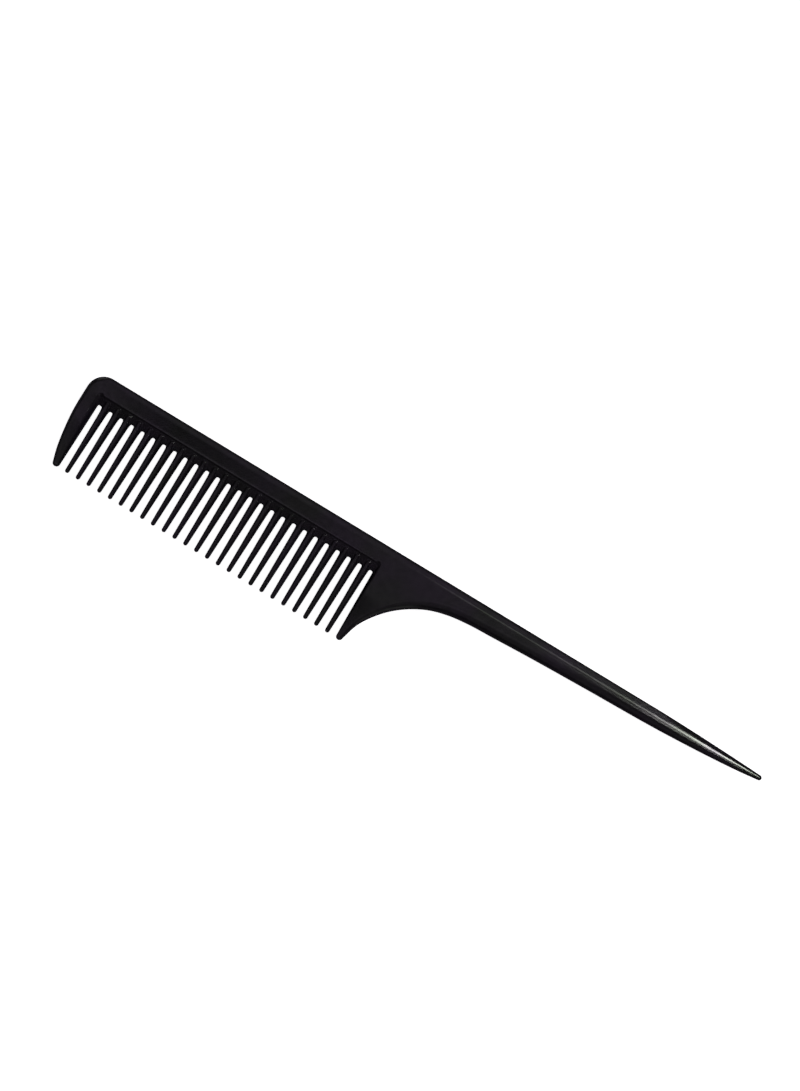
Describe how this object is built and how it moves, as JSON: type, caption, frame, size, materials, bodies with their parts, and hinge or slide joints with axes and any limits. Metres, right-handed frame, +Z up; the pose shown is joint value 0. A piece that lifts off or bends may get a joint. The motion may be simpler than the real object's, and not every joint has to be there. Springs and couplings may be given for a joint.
{
  "type": "rat tail comb",
  "caption": "Slim moulded tail comb: a straight spine carries tapered teeth between guard teeth, and a curved heel leads into a long handle that narrows to a parting point.",
  "frame": {"origin": "centre of the bounding box's lower face: the plane that the comb lies on, half way along its length and half way across its head", "axes": "+X along the length, from the front guard tooth to the tail's tip; +Y across the head, from the tooth tips to the top edge of the spine; +Z up, through the thickness"},
  "size_m": [0.22, 0.03, 0.004],
  "materials": {
    "comb_plastic": "black, satin gloss"
  },
  "bodies": {
    "root": {"spine": "comb_plastic", "web": "comb_plastic", "front_guard_tooth": "comb_plastic", "tooth_01": "comb_plastic", "tooth_02": "comb_plastic", "tooth_03": "comb_plastic", "tooth_04": "comb_plastic", "tooth_05": "comb_plastic", "tooth_06": "comb_plastic", "tooth_07": "comb_plastic", "tooth_08": "comb_plastic", "tooth_09": "comb_plastic", "tooth_10": "comb_plastic", "tooth_11": "comb_plastic", "tooth_12": "comb_plastic", "tooth_13": "comb_plastic", "tooth_14": "comb_plastic", "tooth_15": "comb_plastic", "tooth_16": "comb_plastic", "tooth_17": "comb_plastic", "tooth_18": "comb_plastic", "tooth_19": "comb_plastic", "tooth_20": "comb_plastic", "tooth_21": "comb_plastic", "tooth_22": "comb_plastic", "tooth_23": "comb_plastic", "tooth_24": "comb_plastic", "tooth_25": "comb_plastic", "heel": "comb_plastic", "tail_grip": "comb_plastic", "tail_shank": "comb_plastic", "tail_tip": "comb_plastic"}
  },
  "joints": []
}
